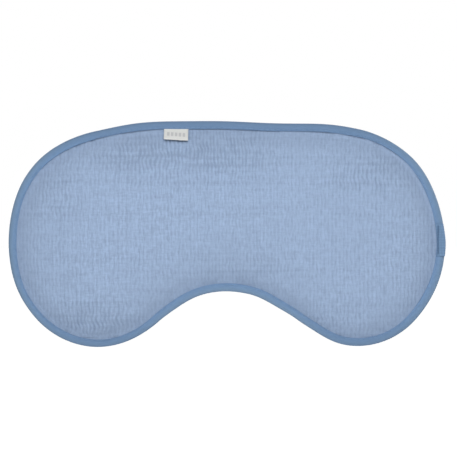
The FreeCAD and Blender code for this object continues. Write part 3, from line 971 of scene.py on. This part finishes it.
BAND_EDGE = 0.35  # height of the elastic's rounded edge
RIB_PITCH, RIB_DEPTH = 1.33, 0.045
ELASTIC_STEP = 0.8
STRAP_LEAN = 0.05  # how far the arch tips, in radians
LAP_PRESS = 3.5  # the pressed lap thickens to full elastic over this length
LAP_BEND = 0.45
ROOT_BEND, TAB_BEND, NECK_BEND = 1.4, 0.7, 2.0
LAP_FLUSH = 0.42  # how far the lap's upper corner is pressed in


def band_section():
    """Elastic's section as (thickness, height) points: ribbed faces and rounded edges."""
    heights = np.linspace(-STRAP_HALF + BAND_EDGE, STRAP_HALF - BAND_EDGE, 47)
    rib = RIB_DEPTH * np.cos(2 * math.pi * heights / RIB_PITCH)
    face = [(ELASTIC / 2 + r - 0.04, h) for r, h in zip(rib, heights)]
    edge = [math.radians(a) for a in (60, 30, 0, -30, -60)]
    top = [(0.5 * math.sin(a), STRAP_HALF - BAND_EDGE + BAND_EDGE * math.cos(a)) for a in edge]
    other = [(-t, -h) for t, h in face]
    bottom = [(-t, -h) for t, h in top]
    return np.array(face + top + other + bottom)


def make_band(name, route, lean=None, squeeze=None):
    """A length of elastic swept along a flat route, tipped by lean and thinned by squeeze at each point."""
    section = band_section()
    along, normal = run_lengths(route), route_normals(route)
    lean = np.zeros(len(route)) if lean is None else lean
    squeeze = np.ones(len(route)) if squeeze is None else squeeze
    points, uvs = [], []
    for place, side, run, tip, thin in zip(route, normal, along, lean, squeeze):
        out = section[:, 0] * thin * math.cos(tip) + section[:, 1] * math.sin(tip)
        up = section[:, 1] * math.cos(tip) - section[:, 0] * thin * math.sin(tip)
        points += [(place[0] + side[0] * o, place[1] + side[1] * o, u) for o, u in zip(out, up)]
        uvs += [(run, h) for h in section[:, 1]]
    piece = make_piece(name, points, capped_tube_faces(len(route), len(section)), elastic, uvs)
    return piece


def arch_route():
    """The strap from the right straight stretch, round the head, to the left one."""
    turn = math.radians(ARCH_SIDE_TURN)
    centre_x = STRAP_MIDDLE - ARCH_SIDE_RADIUS
    back_radius = centre_x / math.cos(turn) + ARCH_SIDE_RADIUS
    back_y = STRAIGHT_END - (back_radius - ARCH_SIDE_RADIUS) * math.sin(turn)
    side = arc_points(centre_x, STRAIGHT_END, ARCH_SIDE_RADIUS, np.linspace(0, turn, 44))
    rear = arc_points(0, back_y, back_radius, np.linspace(turn, math.pi / 2, 54)[1:])
    right = np.array(side + rear)
    left = right[-2::-1] * [-1, 1]
    return np.vstack([right, left])


def make_strap():
    """From the return layer's start, round the ring, along the right side and round to the left root."""
    tip = RING_REAR + EYE_MIDDLE + ELASTIC / 2
    turn_in = [(RETURN_MIDDLE, tip + 0.3), (RETURN_MIDDLE + 0.1, tip - 0.8)]
    eye = arc_points(RING_X, RING_REAR, EYE_MIDDLE, np.radians(np.arange(150, 391, 15)))
    turn_out = [(STRAP_MIDDLE + 0.05, tip - 0.6), (STRAP_MIDDLE, tip + 0.6)]
    root_y = RIM_BACK + ELASTIC / 2
    root = rounded_route([(-STRAP_MIDDLE, STRAIGHT_END, 0), (-STRAP_MIDDLE, root_y, ROOT_BEND),
                          (root_high[0], root_y, 0)], 0.9)
    route = fill_runs(np.vstack([turn_in, eye, turn_out, arch_route(), root[1:]]), 1.1)
    far = smoothstep(route[:, 1], STRAIGHT_END - 8, STRAIGHT_END + 45)
    lean = STRAP_LEAN * far * np.sin(route[:, 0] / 38 + 0.6)
    piece = make_band("head_strap", route, lean)
    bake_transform(piece)
    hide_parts("strap", "strap_root_left")


def make_tab():
    """The doubled elastic that holds the ring. Its outer layer laps the rim and its inner one lies behind."""
    outer, inner = STRAP_MIDDLE, STRAP_MIDDLE - ELASTIC
    neck = RING_FRONT - EYE_MIDDLE - 1.6
    lap_x, lap_y = lap_high[0] - LAP / 2, lap_low[1] + LAP / 2
    lap = rounded_route([(lap_low[0], lap_y, 0), (lap_x, lap_y, LAP_BEND), (lap_x, RIM_BACK, NECK_BEND),
                         (outer, RIM_BACK + 4.0, NECK_BEND), (outer, neck, 0)], 0.5)
    eye = arc_points(RING_X, RING_FRONT, EYE_MIDDLE, np.radians(np.arange(-30, 211, 15)))
    low = RIM_BACK + ELASTIC / 2
    end = rounded_route([(inner, neck, 0), (inner, low, TAB_BEND), (-root_high[0], low, 0)], 0.9)
    route = fill_runs(np.vstack([lap, eye, end]), 1.0)
    run = run_lengths(route)
    pressed = lap_high[0] - lap_low[0] + RIM_BACK - lap_low[1]
    thin = LAP / ELASTIC + (1 - LAP / ELASTIC) * smoothstep(run, pressed, pressed + LAP_PRESS)
    piece = make_band("ring_tab_elastic", route, squeeze=thin)
    points = read_points(piece.data) / MM
    lapped = smoothstep(points[:, 1], RIM_BACK + 5, RIM_BACK - 0.5) * (points[:, 0] > lap_low[0] - 0.2)
    flush = LAP_FLUSH * smoothstep(points[:, 2], -2.0, STRAP_HALF) * (points[:, 0] > HALF_WIDTH - 1)
    points[:, 0] += lapped * (rim_reach(points[:, 2]) - HALF_WIDTH - flush)
    write_points(piece.data, points * MM)
    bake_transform(piece)
    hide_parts("ring_tab", "tab_root_right")


def make_return():
    """The doubled layer between the ring and the slider."""
    ends = [(RETURN_MIDDLE, return_low[1] - 0.1), (RETURN_MIDDLE, return_high[1] + 0.1)]
    route = fill_runs(np.array(ends), ELASTIC_STEP)
    piece = make_band("strap_return_layer", route)
    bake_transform(piece)
    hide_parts("strap_return")


def make_end_loop():
    """The strap's own end, sewn round the slider's middle bar."""
    inner = RETURN_MIDDLE - ELASTIC
    eye = arc_points(SLIDER_BAR_X, SLIDER_MIDDLE, BAR_EYE_MIDDLE, np.radians(np.arange(-5, 231, 15)))
    start = [(RETURN_MIDDLE, return_high[1]), (RETURN_MIDDLE, SLIDER_MIDDLE - 2.0)]
    end = [(inner, SLIDER_MIDDLE - 3.2), (inner, return_high[1] + 0.3)]
    route = fill_runs(np.vstack([start, eye, end]), ELASTIC_STEP)
    piece = make_band("strap_end_elastic", route)
    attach(piece, "adjuster")
    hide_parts("strap_end_loop")


make_strap()
make_tab()
make_return()
make_end_loop()


# ---------- bartacks
TACK_PITCH, TACK_RADIUS, TACK_SLANT = 0.42, 0.2, 0.2
LANE = 0.2  # thickness of a row of tacks


def make_bartack(name, node, body, lanes):
    """Dense zigzag thread. lanes holds (low corner, high corner, face direction) in millimetres."""
    parts = []
    for low, high, face in lanes:
        low, high, face = np.array(low, float), np.array(high, float), np.array(face, float)
        count = int((high[2] - low[2]) / TACK_PITCH)
        width = np.abs(high - low) * (np.abs(face) < 0.5) * [1, 1, 0]
        middle = (low + high) / 2
        for k in range(count):
            z = low[2] + (high[2] - low[2]) * (k + 0.5) / count
            centre = np.array([middle[0], middle[1], z])
            reach = width / 2 + [0, 0, TACK_SLANT]
            parts.append(capsule(centre - reach, centre + reach, face, TACK_RADIUS))
    points, faces = join_meshes(parts)
    piece = make_piece(name, points, faces, tack_thread)
    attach(piece, body)
    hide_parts(node)


for tack_name, node in (("tack_left", "bartack_left"), ("tack_right", "bartack_right")):
    tack_low, tack_high = box_mm(node)
    make_bartack(tack_name, node, "mask", [(tack_low, tack_high, (0, 1, 0))])

tab_low, tab_high = box_mm("tab_stitch")
make_bartack("tack_tab", "tab_stitch", "strap_loop", [
    ((tab_high[0] - LANE, tab_low[1], tab_low[2]), tab_high, (1, 0, 0)),
    (tab_low, (tab_low[0] + LANE, tab_high[1], tab_high[2]), (-1, 0, 0)),
])
end_low, end_high = box_mm("strap_end_stitch")
make_bartack("tack_strap_end", "strap_end_stitch", "adjuster", [(end_low, end_high, (-1, 0, 0))])

for node in ("ring", "slider"):
    part = frame["nodes"][node]
    part.data.materials.clear()
    part.data.materials.append(moulded)


# ---------- floor, light and camera
# these are in metres
FLOOR_DROP = 0.2  # floor below the mask's lobes
FLOOR_HALF = 30.0
CAMERA_DISTANCE = 1.2
FRAME_WIDTH = 0.2218  # width that the picture spans at the mask
AIM_X, AIM_Z = 0.0009, 0.0056
WORLD_LIGHT = 0.225


def make_floor():
    z = BOTTOM * MM - FLOOR_DROP
    corners = [(-1, -1), (1, -1), (1, 1), (-1, 1)]
    points = np.array([(x * FLOOR_HALF, y * FLOOR_HALF, z) for x, y in corners]) / MM
    floor = make_piece("pale_floor", points, [(0, 1, 2, 3)], floor_material())


def add_light(name, place, size, power):
    """A round soft light at place, aimed at the mask."""
    data = bpy.data.lights.new(name, "AREA")
    data.shape = "DISK"
    data.size = size
    data.energy = power
    light = bpy.data.objects.new(name, data)
    light.location = place
    light.rotation_euler = (-Vector(place)).to_track_quat("-Z", "Y").to_euler()
    bpy.context.scene.collection.objects.link(light)


def make_world():
    """White to the eye, and a softer white as light."""
    world = bpy.data.worlds.new("studio")
    bpy.context.scene.world = world
    world.use_nodes = True
    nodes, links = world.node_tree.nodes, world.node_tree.links
    nodes.clear()
    seen, lit = nodes.new("ShaderNodeBackground"), nodes.new("ShaderNodeBackground")
    seen.inputs["Color"].default_value = (1, 1, 1, 1)
    lit.inputs["Color"].default_value = (1, 1, 1, 1)
    lit.inputs["Strength"].default_value = WORLD_LIGHT
    path, mix = nodes.new("ShaderNodeLightPath"), nodes.new("ShaderNodeMixShader")
    out = nodes.new("ShaderNodeOutputWorld")
    links.new(path.outputs["Is Camera Ray"], mix.inputs[0])
    links.new(lit.outputs[0], mix.inputs[1])
    links.new(seen.outputs[0], mix.inputs[2])
    links.new(mix.outputs[0], out.inputs["Surface"])


def make_camera():
    data = bpy.data.cameras.new("camera")
    data.sensor_width = 36.0
    data.lens = data.sensor_width * CAMERA_DISTANCE / FRAME_WIDTH
    data.clip_start = 0.01
    camera = bpy.data.objects.new("camera", data)
    plane = (RIM_FRONT + CROWN_FRONT) / 2 * MM
    camera.location = (AIM_X, plane - CAMERA_DISTANCE, AIM_Z)
    camera.rotation_euler = (math.pi / 2, 0, 0)
    bpy.context.scene.collection.objects.link(camera)
    bpy.context.scene.camera = camera


make_floor()
add_light("key", (0.04, -0.6, 0.27), 0.25, 3.25)
add_light("side", (-0.8, -0.5, 0.3), 0.3, 0.9)
add_light("back_left", (-0.8, 1.0, 0.7), 0.8, 16)
add_light("back_right", (1.1, 0.45, 0.55), 0.6, 9)
make_world()
make_camera()
bpy.context.scene.view_settings.view_transform = "Standard"
